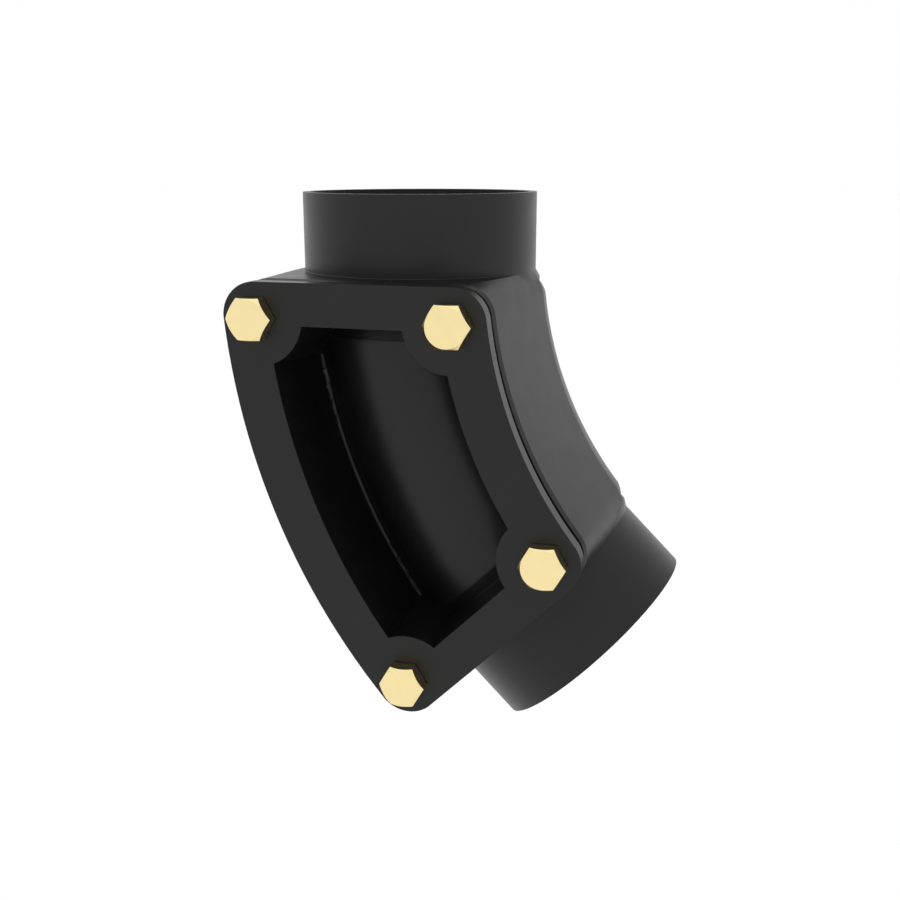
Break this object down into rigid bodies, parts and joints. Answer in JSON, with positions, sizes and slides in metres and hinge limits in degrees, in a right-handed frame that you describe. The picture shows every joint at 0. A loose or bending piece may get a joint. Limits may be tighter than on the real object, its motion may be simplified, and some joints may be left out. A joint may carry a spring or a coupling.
{
  "type": "drain pipe bend with access door",
  "caption": "Cast iron drain pipe bend with plain spigots and a bolted access door on its side for rodding.",
  "frame": {"origin": "centre of the upper spigot's end face", "axes": "+Z straight out of the upper spigot along its axis; the bend turns towards +X; the access door faces -Y"},
  "size_m": [0.1935, 0.1483, 0.2524],
  "materials": {
    "coated_iron": "satin",
    "gasket_rubber": "matte",
    "brass": "polished"
  },
  "bodies": {
    "root": {"bend_body": "coated_iron", "access_cover": "coated_iron", "door_gasket": "gasket_rubber", "bolt_upper_outer": "brass", "bolt_upper_inner": "brass", "bolt_lower_outer": "brass", "bolt_lower_inner": "brass"}
  },
  "joints": []
}
